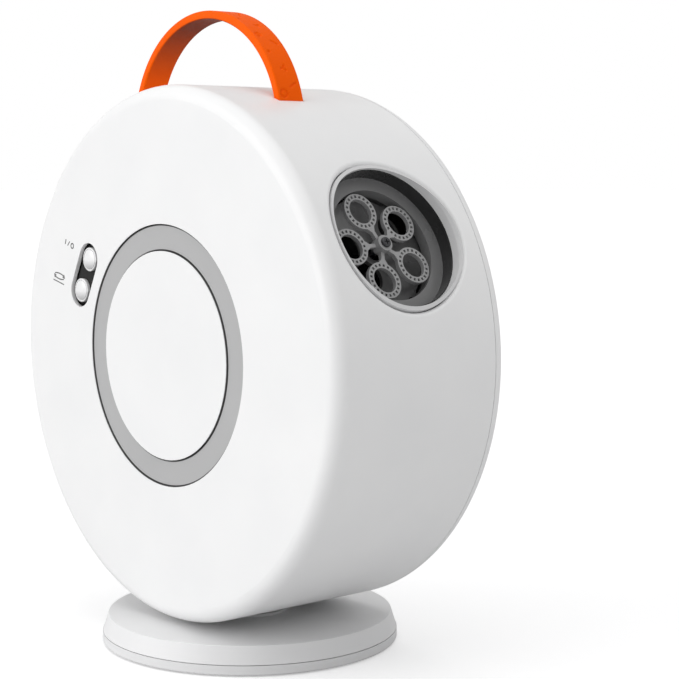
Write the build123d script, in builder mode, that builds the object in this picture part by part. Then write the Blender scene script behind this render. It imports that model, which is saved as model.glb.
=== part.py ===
"""Bubble machine: an upright round drum that turns on a low round foot.

Lengths are in millimetres.  +Z is up, the front face of the drum looks towards -Y, and the
bubble outlet is on its +X rim, tilted upwards.  The origin is the middle of the foot, on the table.
"""
import os
from math import acos, cos, pi, radians, sin, sqrt, tan

from build123d import *

os.makedirs("parts", exist_ok=True)

# ---- driving dimensions: drum ----
drum_r = 100.0              # outside radius
drum_depth = 80.0
drum_z = 113.0              # height of the drum's axis above the table
wall = 2.5
face_wall = 3.0
front_round = 5.5
cover_depth = 6.0           # the rear cover wraps this far onto the rim
seam = 0.25
front_y = -drum_depth / 2
back_y = drum_depth / 2
seam_y = back_y - cover_depth
inner_r = drum_r - wall
face_back_y = front_y + face_wall
cover_back_y = back_y - wall

# ---- front face ----
ring_outer_r = 48.6
ring_inner_r = 39.3
ring_depth = 0.6
ring_thick = 1.4
ring_gap = 0.35
pill_r = 60.6               # distance of the button pill from the drum's axis
pill_angle = 153.0
pill_half_width = 6.5
button_pitch = 13.9
button_r = 4.7
button_gap = 0.3
button_sink = 0.45          # the button's rim sits this far below the face
dome_r = 3.85               # the button's shallow dome stands inside a groove
dome_rise = 0.35
groove_width = 0.3
groove_depth = 0.25
panel_depth = 1.5

# ---- bubble outlet, measured along its own axis from the drum's axis ----
outlet_angle = 28.5
outlet_y = -1.5             # the outlet sits just in front of the middle of the rim
bezel_r = 28.1
bezel_lip_r = 27.0
bezel_lip_d = 98.4          # where the bezel's cone meets its flatter lip
cone_r = 26.6
cone_d = 95.5               # where the bezel's cone ends
mouth_round = 1.5
bezel_flange_r = 32.6
bezel_bore_r = 27.2
bezel_flange_d = 89.0
seal_thick = 1.5
tank_face_d = bezel_flange_d - seal_thick
throat_r = 26.2             # the tank's throat stands inside the bezel
throat_outer_r = 27.1
throat_end_d = 95.3
shelf_r = 21.4              # a flat shelf surrounds the wand wheel
shelf_d = 89.8
tank_half = 33.0
tank_back_d = 50.0
tank_wall = 2.0
tank_front_y = -33.0
tank_open_y = 30.5
gasket_thick = 1.0
tank_cover_thick = 2.0
sump_x = 54.0
sump_z = -40.0

# ---- wand wheel ----
wand_count = 5
wand_pitch_r = 14.0
wand_ring_r = 6.9
wand_hole_r = 4.7
wand_hub_r = 3.0
wand_phase = 36.5
wand_d = 87.9
wand_thick = 1.6
wand_slots = 20
wheel_shaft_r = 1.5
wheel_module = 0.8
wheel_teeth = 22
wheel_pinion_teeth = 12
wheel_gear_d = 42.5
wheel_gear_thick = 5.0

# ---- foot ----
foot_r = 57.4
foot_top_r = 55.2           # the side leans in to a crisp edge round the top
foot_top_z = 11.0
foot_round = 0.4
foot_split_z = 4.4
foot_under_z = 8.3          # underside of the cover's top
plate_z = 0.5
plate_thick = 2.0

# ---- swivel ----
swivel_module = 1.0
sun_teeth = 32
swivel_pinion_teeth = 14
gear_play = 0.15            # extra distance between meshing gears
running_gap = 0.06
bush_flange_r = 14.8
washer_thick = 1.0
bush_flange_z = foot_top_z + washer_thick + 0.3
bush_seat_z = 14.2          # the bush's flange closes the gap between drum and foot
bush_r = 12.0
bush_top_z = 25.5
post_r = 9.0
post_key_r = 7.0
post_flange_r = 22.0
post_base_z = 3.5
post_flange_z = 6.5         # top of the post's flange, against the cover
sun_z = 26.0
sun_thick = 7.0

# ---- carry strap: half an ellipse on two straight legs ----
strap_x = -11.7
strap_spring_z = 84.0       # above the drum's axis
strap_half_span = 47.6
strap_rise = 44.8
strap_thick = 3.2
strap_width = 11.5
strap_y = -6.4
strap_right_end = 78.5
strap_left_end = 64.0
clamp_right_z = 83.0        # height of each leg's clamp screw above the drum's axis
clamp_left_z = 69.0

# ---- battery bay ----
cell_r = 7.1
cell_length = 50.0
cell_pitch = 14.5
cell_count = 4
bay_x = -37.5
bay_z = -18.0
bay_width = 61.0
bay_height = 58.0
door_width = 64.0
door_height = 76.0
door_z = bay_z + 0.5
door_gap = 0.3
bay_floor_y = 18.5

# ---- blower ----
fan_d = 30.0                # where the blower's spout ends, along the outlet axis
fan_v = 20.2
nozzle_d = 84.5             # front of the plate that the duct's nozzle opens through
nozzle_plate_r = 23.5
duct_bore_r = 5.2
duct_r = 6.4
fan_r = 21.0
fan_reach = 24.0            # from the blower's centre to the end of its spout
fan_half_depth = 13.0
fan_wall = 1.8
fan_ear_angles = (60, 140, 260)
fan_ear_r = 24.0

shell_boss_angles = (56, 104, 152, 208, 236, 318)
shell_boss_r = 88.0

u_x = cos(radians(outlet_angle))
u_z = sin(radians(outlet_angle))


# ---- places and planes ----
def face_plane(y):
    """Upright plane at depth y: x to the right, y up, measured from the drum's axis."""
    return Plane(origin=(0, y, drum_z), x_dir=(1, 0, 0), z_dir=(0, -1, 0))


def outlet_plane(d):
    """Plane across the outlet axis, d from the drum's axis: x is depth, y is up the rim."""
    return Plane(origin=(d * u_x, outlet_y, drum_z + d * u_z), x_dir=(0, 1, 0), z_dir=(u_x, 0, u_z))


def on_face(d, v):
    """Point of the face plane that is d along the outlet axis and v across it."""
    return (d * u_x - v * u_z, d * u_z + v * u_x)


def polar(radius, angle):
    return (radius * cos(radians(angle)), radius * sin(radians(angle)))


def rearward(x, y, z):
    """Plane at a point of the drum, z above its axis, that looks towards the back."""
    return Plane(origin=(x, y, drum_z + z), x_dir=(-1, 0, 0), z_dir=(0, 1, 0))


outlet_axis = Axis(origin=(0, outlet_y, drum_z), direction=(u_x, 0, u_z))
drum_axis = Axis(origin=(0, 0, drum_z), direction=(0, 1, 0))
outlet_section = Plane(origin=(0, outlet_y, drum_z), x_dir=(u_x, 0, u_z), z_dir=(-u_z, 0, u_x))
drum_section = Plane(origin=(0, 0, drum_z), x_dir=(0, 1, 0), z_dir=(1, 0, 0))


# ---- shared shapes ----
def disc(plane, radius, height, hole_r=0.0, places=((0, 0),)):
    """Round plates, with or without a hole, raised from a plane."""
    with BuildPart() as body:
        with BuildSketch(plane):
            with Locations(*places):
                Circle(radius)
                if hole_r:
                    Circle(hole_r, mode=Mode.SUBTRACT)
        extrude(amount=height)
    return body.part


def screw(head_r, head_height, shank_r, shank_length):
    """Pan-head screw: the underside of its head is at the origin, the shank points down."""
    with BuildPart() as body:
        with BuildSketch():
            Circle(head_r)
        extrude(amount=head_height)
        fillet(body.edges().sort_by(Axis.Z)[-1], head_height * 0.45)
        with BuildSketch():
            Circle(shank_r)
        extrude(amount=-shank_length)
        with BuildSketch(Plane.XY.offset(head_height)):
            Rectangle(head_r * 1.1, head_r * 0.22)
            Rectangle(head_r * 0.22, head_r * 1.1)
        extrude(amount=-head_height * 0.55, mode=Mode.SUBTRACT)
    return body.part


def copies(piece, planes):
    """The same piece standing on each plane, as separate solids."""
    with BuildPart() as group:
        with Locations(*planes):
            add(piece)
    return group.part


def gear(plane, module, teeth, height, bore_r, phase=0.0, backlash=0.16):
    """Spur gear with involute flanks."""
    pitch_r = module * teeth / 2
    base_r = pitch_r * cos(radians(20))
    tip_r = pitch_r + 0.95 * module
    root_r = pitch_r - 1.25 * module
    flat = tan(radians(20)) - radians(20)
    half_tooth = pi / (2 * teeth) - backlash / (2 * pitch_r)

    def flank(radius):
        pressure = acos(min(1.0, base_r / radius))
        angle = half_tooth + flat - (tan(pressure) - pressure)
        return radius * cos(angle), radius * sin(angle)

    start_r = max(base_r, root_r) + 0.01
    radii = [start_r + (tip_r - start_r) * k / 4 for k in range(5)]
    upper = [flank(radius) for radius in radii]
    lower = [(x, -y) for x, y in upper]
    foot_x = root_r - 0.4
    with BuildPart() as body:
        with BuildSketch(plane):
            Circle(root_r)
            with BuildSketch(mode=Mode.PRIVATE) as tooth:
                with BuildLine():
                    Spline(*upper)
                    Line(upper[-1], lower[-1])
                    Spline(*lower)
                    Polyline(lower[0], (foot_x, lower[0][1]), (foot_x, upper[0][1]), upper[0])
                make_face()
            with PolarLocations(0, teeth, start_angle=phase):
                add(tooth.sketch)
            Circle(bore_r, mode=Mode.SUBTRACT)
        extrude(amount=height)
    return body.part


def save(name, part):
    part.label = name
    export_step(part, f"parts/{name}.step")


# ==== foot ====
foot_screw_places = [polar(42, 45 + 90 * k) for k in range(4)]
foot_pad_places = [polar(46, 90 * k) for k in range(4)]
post_screw_places = [polar(16, 30 + 120 * k) for k in range(3)]

with BuildPart() as base_plate:
    with BuildSketch(Plane.XY.offset(plate_z)):
        Circle(foot_r)
    extrude(amount=plate_thick)
    fillet(base_plate.edges().sort_by(Axis.Z)[0], 0.6)
    with BuildSketch(Plane.XY.offset(plate_z + plate_thick)):
        Circle(foot_r)
        Circle(foot_r - 2.6, mode=Mode.SUBTRACT)
    extrude(amount=foot_split_z - seam - plate_z - plate_thick)
    with BuildSketch(Plane.XY.offset(plate_z + plate_thick)):
        with Locations(*foot_screw_places):
            Circle(5)
    extrude(amount=foot_split_z - plate_z - plate_thick)
    with BuildSketch(Plane.XY.offset(plate_z)):
        with Locations(*foot_pad_places):
            Circle(7.1)
    extrude(amount=1.0, mode=Mode.SUBTRACT)
    with Locations(*[(x, y, plate_z) for x, y in foot_screw_places]):
        Cylinder(3.0, 2.1, align=(Align.CENTER, Align.CENTER, Align.MIN), mode=Mode.SUBTRACT)
        Cylinder(1.45, 4.0, align=(Align.CENTER, Align.CENTER, Align.MIN), mode=Mode.SUBTRACT)
save("base_plate", base_plate.part)

foot_hole_r = post_r + 0.3
with BuildPart() as base_cover:
    with BuildSketch(Plane.XZ):
        with BuildLine():
            Line((foot_hole_r, post_flange_z), (foot_hole_r, foot_top_z))
            Line((foot_hole_r, foot_top_z), (foot_top_r - foot_round, foot_top_z))
            TangentArc((foot_top_r - foot_round, foot_top_z), (foot_top_r, foot_top_z - foot_round),
                       tangent=(1, 0))
            Polyline((foot_top_r, foot_top_z - foot_round), (foot_r - 0.2, foot_split_z),
                     (foot_r - 2.8, foot_split_z), (foot_r - 4.4, foot_under_z),
                     (post_flange_r + 3, foot_under_z), (post_flange_r + 3, post_flange_z),
                     (foot_hole_r, post_flange_z))
        make_face()
    revolve(axis=Axis.Z)
    with BuildSketch(Plane.XY.offset(foot_split_z)):
        with Locations(*foot_screw_places):
            Circle(3.6)
    extrude(amount=4.0)
    with Locations(*[(x, y, foot_split_z) for x, y in foot_screw_places]):
        Cylinder(1.3, 4.9, align=(Align.CENTER, Align.CENTER, Align.MIN), mode=Mode.SUBTRACT)
    with Locations(*[(x, y, post_flange_z) for x, y in post_screw_places]):
        Cylinder(1.3, 2.8, align=(Align.CENTER, Align.CENTER, Align.MIN), mode=Mode.SUBTRACT)
save("base_cover", base_cover.part)

with BuildPart() as base_feet:
    with BuildSketch():
        with Locations(*foot_pad_places):
            Circle(7.0)
    extrude(amount=1.5)
    fillet(base_feet.edges().group_by(Axis.Z)[0], 0.4)
save("base_feet", base_feet.part)

foot_screw = screw(2.5, 1.4, 1.25, 4.0)
foot_screw_seats = [(x, y, plate_z + 2.1) for x, y in foot_screw_places]
post_screw_seats = [(x, y, post_base_z + 1.6) for x, y in post_screw_places]
save("base_screws", copies(foot_screw, [Plane(origin=seat, z_dir=(0, 0, -1))
                                        for seat in foot_screw_seats + post_screw_seats]))

with BuildPart() as pivot_post:
    with BuildSketch(Plane.XY.offset(post_base_z)):
        Circle(post_flange_r)
    extrude(amount=post_flange_z - post_base_z)
    with BuildSketch(Plane.XY.offset(post_flange_z)):
        Circle(post_r)
    extrude(amount=sun_z - post_flange_z)
    with BuildSketch(Plane.XY.offset(sun_z)):
        Circle(post_key_r)
        Rectangle(2 * post_key_r, 11.0, mode=Mode.INTERSECT)
    extrude(amount=sun_thick + 0.2)
    with Locations((0, 0, sun_z + sun_thick + 0.2)):
        Cylinder(1.5, 12, align=(Align.CENTER, Align.CENTER, Align.MAX), mode=Mode.SUBTRACT)
    with Locations(*[(x, y, post_base_z) for x, y in post_screw_places]):
        Cylinder(1.35, 3.0, align=(Align.CENTER, Align.CENTER, Align.MIN), mode=Mode.SUBTRACT)
        Cylinder(2.8, 1.6, align=(Align.CENTER, Align.CENTER, Align.MIN), mode=Mode.SUBTRACT)
save("pivot_post", pivot_post.part)

save("thrust_washer", disc(Plane.XY.offset(foot_top_z), bush_flange_r, washer_thick, hole_r=post_r + 0.6))

with BuildPart() as sun_gear:
    add(gear(Plane.XY.offset(sun_z), swivel_module, sun_teeth, sun_thick, 2.0))
    with BuildSketch(Plane.XY.offset(sun_z)):
        Circle(post_key_r + 0.05)
        Rectangle(2 * post_key_r + 1, 11.1, mode=Mode.INTERSECT)
    extrude(amount=sun_thick, mode=Mode.SUBTRACT)
save("sun_gear", sun_gear.part)

washer_z = sun_z + sun_thick + 0.2
save("retaining_washer", disc(Plane.XY.offset(washer_z), 10, 1.0, hole_r=1.6))
save("retaining_screw", copies(screw(3.2, 2.0, 1.45, 10), [Plane.XY.offset(washer_z + 1.0)]))


# ==== drum shell and rear cover ====
def strap_outline(grow):
    """Side view of the strap, larger all round by grow."""
    half = strap_half_span + grow
    rise = strap_rise + grow
    thick = strap_thick + 2 * grow
    right = strap_right_end - grow
    left = strap_left_end - grow
    with BuildSketch(face_plane(strap_y + strap_width / 2 + grow)) as outline:
        with BuildLine():
            Line((strap_x + half, right), (strap_x + half, strap_spring_z))
            EllipticalCenterArc((strap_x, strap_spring_z), half, rise, start_angle=0, arc_size=180)
            Polyline((strap_x - half, strap_spring_z), (strap_x - half, left),
                     (strap_x - half + thick, left), (strap_x - half + thick, strap_spring_z))
            EllipticalCenterArc((strap_x, strap_spring_z), half - thick, rise - thick,
                                start_angle=0, arc_size=180)
            Polyline((strap_x + half - thick, strap_spring_z), (strap_x + half - thick, right),
                     (strap_x + half, right))
        make_face()
    return outline.sketch


def pill_sketch(y, grow):
    """The pill round both buttons, larger all round by grow."""
    with BuildSketch(face_plane(y)) as pill:
        with Locations(Location((*polar(pill_r, pill_angle), 0), (0, 0, pill_angle + 90))):
            SlotCenterToCenter(button_pitch, 2 * (pill_half_width + grow))
    return pill.sketch


boss_places = [polar(shell_boss_r, angle) for angle in shell_boss_angles]
board_x, board_z = -52.0, 26.0
board_width, board_height = 36.0, 40.0
board_y = -26.0
board_places = [(board_x + i * 15, board_z + j * 17) for i in (-1, 1) for j in (-1, 1)]
nozzle_w, nozzle_v = polar(wand_pitch_r, wand_phase)
nozzle_y = outlet_y + nozzle_w
duct_run = (nozzle_d - fan_d, nozzle_v - fan_v)
duct_flat = sqrt(duct_run[0] ** 2 + duct_run[1] ** 2)
duct_length = sqrt(duct_flat ** 2 + nozzle_y ** 2)
duct_t = (duct_run[0] / duct_flat, duct_run[1] / duct_flat)
fan_offset = fan_r - 6.5
fan_centre = on_face(fan_d - fan_reach * duct_t[0] - fan_offset * duct_t[1],
                     fan_v - fan_reach * duct_t[1] + fan_offset * duct_t[0])
fan_ears = [tuple(c + e for c, e in zip(fan_centre, polar(fan_ear_r, angle))) for angle in fan_ear_angles]
pinion_x = -(swivel_module * (sun_teeth + swivel_pinion_teeth) / 2 + gear_play)
bracket_places = [(pinion_x, 25), (pinion_x, -25)]
bracket_z = 36.0
right_leg_x = strap_x + strap_half_span
left_leg_x = strap_x - strap_half_span

with BuildPart() as drum_shell:
    with BuildSketch(drum_section):
        with BuildLine():
            Line((front_y, 0), (front_y, drum_r - front_round))
            TangentArc((front_y, drum_r - front_round), (front_y + front_round, drum_r), tangent=(0, 1))
            Polyline((front_y + front_round, drum_r), (seam_y - seam, drum_r), (seam_y - seam, inner_r),
                     (face_back_y + 3, inner_r))
            TangentArc((face_back_y + 3, inner_r), (face_back_y, inner_r - 3), tangent=(-1, 0))
            Polyline((face_back_y, inner_r - 3), (face_back_y, 0), (front_y, 0))
        make_face()
    revolve(axis=drum_axis)
    with BuildSketch(face_plane(seam_y)):
        with Locations(*boss_places):
            Circle(4)
    extrude(amount=seam_y - face_back_y)
    with BuildSketch(face_plane(seam_y - 3)):
        for angle in shell_boss_angles:
            with Locations(Location((*polar(94.0, angle), 0), (0, 0, angle))):
                Rectangle(9.0, 2.0)
    extrude(amount=seam_y - 3 - face_back_y)
    with BuildSketch(face_plane(-fan_half_depth)):
        with Locations(*fan_ears):
            Circle(3.5)
    extrude(amount=-fan_half_depth - face_back_y)
    with BuildSketch(face_plane(board_y)):
        with Locations(*board_places):
            Circle(2.6)
    extrude(amount=board_y - face_back_y)
    add(disc(Plane.XY.offset(bush_seat_z + 0.4), bush_r + 5.5, bush_top_z - bush_seat_z - 0.4))
    add(disc(Plane.XY.offset(18.0), 4, bracket_z - 18.0, places=bracket_places))
    with Locations((right_leg_x + 3.7, strap_y, drum_z + clamp_right_z + 1),
                   (left_leg_x - 3.7, strap_y, drum_z + clamp_left_z)):
        Box(6.6, 14, 11)
    with BuildSketch(face_plane(seam_y + 1)):
        with Locations(*boss_places):
            Circle(1.45)
    extrude(amount=18, mode=Mode.SUBTRACT)
    with BuildSketch(face_plane(-fan_half_depth)):
        with Locations(*fan_ears):
            Circle(1.3)
    extrude(amount=12, mode=Mode.SUBTRACT)
    with BuildSketch(face_plane(board_y)):
        with Locations(*board_places):
            Circle(1.05)
    extrude(amount=8, mode=Mode.SUBTRACT)
    with Locations((0, 0, bush_seat_z)):
        Cylinder(bush_r + 0.05, 16, align=(Align.CENTER, Align.CENTER, Align.MIN), mode=Mode.SUBTRACT)
        Cylinder(bush_flange_r + 0.1, 5, align=(Align.CENTER, Align.CENTER, Align.MAX), mode=Mode.SUBTRACT)
    with Locations(*[(x, y, bracket_z) for x, y in bracket_places]):
        Cylinder(1.3, 9, align=(Align.CENTER, Align.CENTER, Align.MAX), mode=Mode.SUBTRACT)
    with BuildSketch(face_plane(front_y + ring_depth + ring_thick)):
        Circle(ring_outer_r + ring_gap)
        Circle(ring_inner_r - ring_gap, mode=Mode.SUBTRACT)
    extrude(amount=10, mode=Mode.SUBTRACT)
    extrude(pill_sketch(face_back_y + 1, 0), amount=10, mode=Mode.SUBTRACT)
    with BuildSketch(outlet_plane(85)):
        Circle(bezel_r + seam)
    extrude(amount=20, mode=Mode.SUBTRACT)
    extrude(strap_outline(0.25), amount=strap_width + 0.5, mode=Mode.SUBTRACT)
    for x, z, angle in ((right_leg_x, clamp_right_z, 0), (left_leg_x, clamp_left_z, 180)):
        with BuildSketch(Plane(origin=(x, strap_y, drum_z + z), z_dir=(cos(radians(angle)), 0, 0))):
            Circle(1.3)
        extrude(amount=6.5, mode=Mode.SUBTRACT)
    hole_edges = drum_shell.edges().filter_by(GeomType.BSPLINE).filter_by(lambda edge: edge.length > 170)
    fillet(hole_edges.sort_by(outlet_axis)[-1], mouth_round)
save("drum_shell", drum_shell.part)

bay_places = [bay_x + cell_pitch * (k - (cell_count - 1) / 2) for k in range(cell_count)]
door_screw_places = [(bay_x, bay_z + bay_height / 2 + 4.3), (bay_x, bay_z - bay_height / 2 - 3.8)]
vent_r = 16.0
vent_rows = [-12, -8, -4, 0, 4, 8, 12]

with BuildPart() as rear_cover:
    with BuildSketch(drum_section):
        with BuildLine():
            Polyline((cover_back_y, 0), (back_y, 0), (back_y, drum_r - cover_depth))
            TangentArc((back_y, drum_r - cover_depth), (seam_y, drum_r), tangent=(0, 1))
            Polyline((seam_y, drum_r), (seam_y, inner_r - 0.2), (seam_y - 2, inner_r - 0.2),
                     (seam_y - 2, inner_r - 2), (cover_back_y, inner_r - 4), (cover_back_y, 0))
        make_face()
    revolve(axis=drum_axis)
    with BuildSketch(face_plane(cover_back_y)):
        with Locations(*boss_places):
            Circle(4.8)
    extrude(amount=cover_back_y - seam_y)
    with BuildSketch(face_plane(back_y)):
        with Locations(*boss_places):
            Circle(3.2)
    extrude(amount=4.0, mode=Mode.SUBTRACT)
    with BuildSketch(face_plane(back_y)):
        with Locations(*boss_places):
            Circle(1.6)
        with Locations((bay_x, door_z)):
            RectangleRounded(door_width + 2 * door_gap, door_height + 2 * door_gap, 3.3)
        for row in vent_rows:
            with Locations((fan_centre[0], fan_centre[1] + row)):
                SlotOverall(2 * sqrt(vent_r ** 2 - row ** 2), 2.0)
    extrude(amount=back_y - seam_y + 3, mode=Mode.SUBTRACT)
save("rear_cover", rear_cover.part)

rear_screw = screw(2.8, 1.9, 1.4, 17)
save("rear_screws", copies(rear_screw, [rearward(x, back_y - 4.0, z) for x, z in boss_places]))

with BuildPart() as face_ring:
    with BuildSketch(face_plane(front_y + ring_depth + ring_thick)):
        Circle(ring_outer_r)
        Circle(ring_inner_r, mode=Mode.SUBTRACT)
    extrude(amount=ring_thick)
    fillet(face_ring.faces().sort_by(Axis.Y)[0].edges(), 0.25)
save("face_ring", face_ring.part)


# ==== buttons and control board ====
def button_place(side):
    """Centre of a button on the face: side 1 is the upper one."""
    x, z = polar(pill_r, pill_angle)
    along = polar(button_pitch / 2 * -side, pill_angle + 90)
    return (x + along[0], z + along[1])


buttons = {"power": button_place(1), "rotation": button_place(-1)}
panel_y = front_y + panel_depth
with BuildPart() as button_panel:
    extrude(pill_sketch(face_back_y, -0.1), amount=face_back_y - panel_y)
    extrude(pill_sketch(face_back_y + 1.2, 2.0), amount=1.2)
    with BuildSketch(face_plane(face_back_y + 2)):
        with Locations(*buttons.values()):
            Circle(button_r + button_gap)
    extrude(amount=6, mode=Mode.SUBTRACT)
save("button_panel", button_panel.part)

flange_y = face_back_y + 1.2 + button_gap
switch_y = board_y - 3.5
plunger_y = switch_y - 1.5
rim_y = front_y + button_sink
for name, place in buttons.items():
    with BuildPart() as button:
        with BuildSketch(face_plane(flange_y + 1.0)):
            with Locations(place):
                Circle(button_r + 1.2)
        extrude(amount=1.0)
        with BuildSketch(face_plane(flange_y)):
            with Locations(place):
                Circle(button_r)
        extrude(amount=flange_y - rim_y)
        fillet(button.edges().sort_by(Axis.Y)[0], 0.3)
        with BuildSketch(face_plane(rim_y)):
            with Locations(place):
                Circle(dome_r + groove_width)
                Circle(dome_r, mode=Mode.SUBTRACT)
        extrude(amount=-groove_depth, mode=Mode.SUBTRACT)
        middle = (place[0], rim_y, drum_z + place[1])
        with BuildSketch(Plane(origin=middle, x_dir=(1, 0, 0), z_dir=(0, 0, -1))):
            with BuildLine():
                Polyline((0, dome_rise), (0, 0), (dome_r, 0))
                TangentArc((0, dome_rise), (dome_r, 0), tangent=(1, 0))
            make_face()
        revolve(axis=Axis(origin=middle, direction=(0, -1, 0)))
        with BuildSketch(face_plane(plunger_y)):
            with Locations(place):
                Circle(1.6)
        extrude(amount=plunger_y - flange_y - 1.0)
    save(f"{name}_button", button.part)
    with BuildPart() as plunger:
        with BuildSketch(face_plane(plunger_y + 2.3)):
            with Locations(place):
                Circle(1.6)
        extrude(amount=2.3)
    save(f"{name}_plunger", plunger.part)

with BuildPart() as tact_switches:
    with BuildSketch(face_plane(board_y)):
        with Locations(*buttons.values()):
            Rectangle(6, 6)
    extrude(amount=board_y - switch_y)
    with BuildSketch(face_plane(switch_y + 2.0)):
        with Locations(*buttons.values()):
            Circle(1.9)
    extrude(amount=3, mode=Mode.SUBTRACT)
save("tact_switches", tact_switches.part)

board_thick = 1.6
with BuildPart() as control_board:
    with BuildSketch(face_plane(board_y + board_thick)):
        with Locations((board_x, board_z)):
            Rectangle(board_width, board_height)
        with Locations(*board_places):
            Circle(1.3, mode=Mode.SUBTRACT)
    extrude(amount=board_thick)
save("control_board", control_board.part)

chips = [(-7, 5, 9, 9, 1.6), (8, 8, 5, 10, 6.0), (8, -6, 5, 8, 6.0), (-6, -10, 12, 5, 6.0),
         (-2, 12, 4, 3, 1.2)]
with BuildPart() as board_components:
    for x, z, width, height, depth in chips:
        with BuildSketch(face_plane(board_y + board_thick + depth)):
            with Locations((board_x + x, board_z + z)):
                Rectangle(width, height)
        extrude(amount=depth)
save("board_components", board_components.part)
save("board_screws", copies(screw(2.2, 1.3, 1.0, 8),
                            [rearward(x, board_y + board_thick, z) for x, z in board_places]))

# ==== outlet, solution tank and wand wheel ====
with BuildPart() as outlet_bezel:
    with BuildSketch(outlet_section):
        with BuildLine():
            Polyline((bezel_flange_d, bezel_bore_r), (cone_d, bezel_bore_r), (cone_d, cone_r),
                     (bezel_lip_d, bezel_lip_r), (drum_r + 1, bezel_r - 0.2), (drum_r + 1, bezel_r),
                     (bezel_flange_d + 2, bezel_r), (bezel_flange_d + 2, bezel_flange_r),
                     (bezel_flange_d, bezel_flange_r), (bezel_flange_d, bezel_bore_r))
        make_face()
    revolve(axis=outlet_axis)
    with BuildSketch(drum_section):
        with Locations((0, drum_r / 2)):
            Rectangle(drum_depth, drum_r)
    revolve(axis=drum_axis, mode=Mode.INTERSECT)
    with BuildSketch(outlet_plane(bezel_flange_d)):
        with PolarLocations(30.5, 4, start_angle=45):
            Circle(1.3)
    extrude(amount=4, mode=Mode.SUBTRACT)
save("outlet_bezel", outlet_bezel.part)

with BuildPart() as mouth_seal:
    with BuildSketch(outlet_plane(tank_face_d)):
        Circle(29.0)
        Circle(bezel_bore_r, mode=Mode.SUBTRACT)
    extrude(amount=seal_thick)
save("mouth_seal", mouth_seal.part)


def tank_outline(y, inset):
    """Side view of the tank: a throat behind the outlet over a deep sump."""
    corners = [on_face(tank_face_d, tank_half), on_face(tank_back_d, tank_half),
               (sump_x, 5.2), (sump_x, sump_z), (84, sump_z), (93, -8), on_face(tank_face_d, -tank_half)]
    with BuildSketch(face_plane(y)) as outline:
        Polygon(*corners, align=None)
        fillet(outline.vertices(), 5)
        if inset:
            offset(amount=-inset, mode=Mode.REPLACE)
    return outline.sketch


tank_ears = [on_face(66, 35.5), on_face(47.5, 26), (51, -20), (62, -43), (80, -43)]
motor_v = -(wheel_module * (wheel_teeth + wheel_pinion_teeth) / 2 + gear_play)
motor_post_places = [(18, motor_v), (-18, motor_v)]
bracket_d = 40.0
bracket_thick = 1.6
duct_x, duct_z = on_face(fan_d, fan_v)
duct_run_x, duct_run_z = on_face(*duct_run)
duct_start = Vector(duct_x, 0, drum_z + duct_z)
duct_dir = Vector(duct_run_x, nozzle_y, duct_run_z).normalized()
duct_axis = Axis(origin=duct_start, direction=duct_dir)


def duct_plane(s):
    """Plane across the air duct, s past the end of the blower's spout."""
    return Plane(origin=duct_start + duct_dir * s, z_dir=duct_dir)


with BuildPart() as solution_tank:
    extrude(tank_outline(tank_open_y, 0), amount=tank_open_y - tank_front_y)
    with BuildSketch(face_plane(tank_open_y)):
        with Locations(*tank_ears):
            Circle(3.5)
    extrude(amount=8)
    extrude(tank_outline(tank_open_y, tank_wall), amount=tank_open_y - tank_front_y - tank_wall,
            mode=Mode.SUBTRACT)
    with BuildSketch(face_plane(tank_open_y)):
        with Locations(*tank_ears):
            Circle(1.05)
    extrude(amount=7, mode=Mode.SUBTRACT)
    add(disc(outlet_plane(tank_face_d - tank_wall), throat_outer_r, throat_end_d - tank_face_d + tank_wall))
    with BuildSketch(outlet_plane(shelf_d)):
        Circle(throat_r)
    extrude(amount=throat_end_d - shelf_d, mode=Mode.SUBTRACT)
    with BuildSketch(outlet_plane(tank_face_d - tank_wall)):
        Circle(shelf_r)
    extrude(amount=shelf_d - tank_face_d + tank_wall, mode=Mode.SUBTRACT)
    with BuildSketch(outlet_plane(tank_back_d)):
        Circle(6.5)
    extrude(amount=8)
    with BuildSketch(outlet_plane(tank_back_d)):
        with Locations(*motor_post_places):
            Circle(3)
    extrude(amount=-(tank_back_d - bracket_d - bracket_thick))
    with BuildSketch(outlet_plane(tank_back_d - 1)):
        Circle(4.02)
    extrude(amount=12, mode=Mode.SUBTRACT)
    with BuildSketch(outlet_plane(bracket_d)):
        with Locations(*motor_post_places):
            Circle(1.05)
    extrude(amount=8, mode=Mode.SUBTRACT)
    with BuildSketch(duct_plane(12)):
        Circle(duct_r + 0.1)
    extrude(amount=20, mode=Mode.SUBTRACT)
save("solution_tank", solution_tank.part)

with BuildPart() as tank_gasket:
    extrude(tank_outline(tank_open_y + gasket_thick, 0.2), amount=gasket_thick)
    extrude(tank_outline(tank_open_y + gasket_thick, tank_wall - 0.2), amount=gasket_thick,
            mode=Mode.SUBTRACT)
save("tank_gasket", tank_gasket.part)

tank_cover_y = tank_open_y + gasket_thick
with BuildPart() as tank_cover:
    extrude(tank_outline(tank_cover_y + tank_cover_thick, 0), amount=tank_cover_thick)
    with BuildSketch(face_plane(tank_cover_y + tank_cover_thick)):
        with Locations(*tank_ears):
            Circle(3.5)
    extrude(amount=tank_cover_thick)
    with BuildSketch(face_plane(tank_cover_y + tank_cover_thick)):
        with Locations(*tank_ears):
            Circle(1.3)
    extrude(amount=tank_cover_thick, mode=Mode.SUBTRACT)
save("tank_cover", tank_cover.part)
bracket_looks = [Plane(origin=outlet_plane(bracket_d).from_local_coords((x, y, 0)),
                       z_dir=(-u_x, 0, -u_z)) for x, y in motor_post_places]
save("tank_screws", copies(screw(2.2, 1.3, 1.0, 7.5),
                           [rearward(x, tank_cover_y + tank_cover_thick, z) for x, z in tank_ears]
                           + bracket_looks))

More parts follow.
